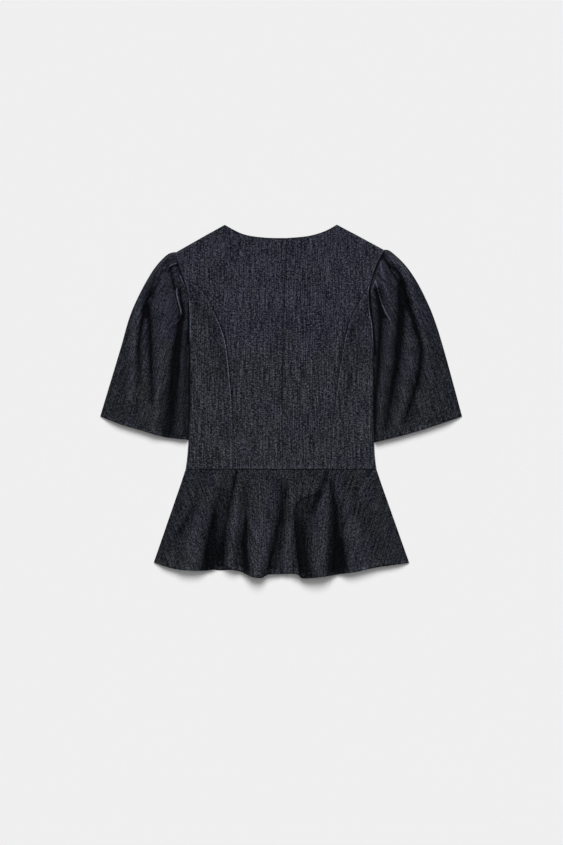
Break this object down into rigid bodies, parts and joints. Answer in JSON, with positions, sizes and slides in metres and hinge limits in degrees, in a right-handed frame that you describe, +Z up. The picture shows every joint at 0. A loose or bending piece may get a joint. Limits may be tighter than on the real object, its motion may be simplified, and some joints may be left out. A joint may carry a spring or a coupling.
{
  "type": "peplum top",
  "caption": "Short-sleeved dark denim top with princess seams, pleated sleeve caps and a waved peplum, laid flat with its back up.",
  "frame": {"origin": "on the table under the middle of the garment's length and width", "axes": "+Z up off the table out of the back, +Y towards the neck, +X towards the wearer's right sleeve"},
  "size_m": [0.6184, 0.6036, 0.0231],
  "materials": {
    "denim": "dark blue-black cotton denim, slubby warp, slight sheen on the folds"
  },
  "bodies": {
    "root": {"back_left": "denim", "back_right": "denim", "side_back_left": "denim", "side_back_right": "denim", "sleeve_left": "denim", "sleeve_right": "denim", "peplum_back": "denim", "front": "denim", "peplum_front": "denim"}
  },
  "joints": []
}
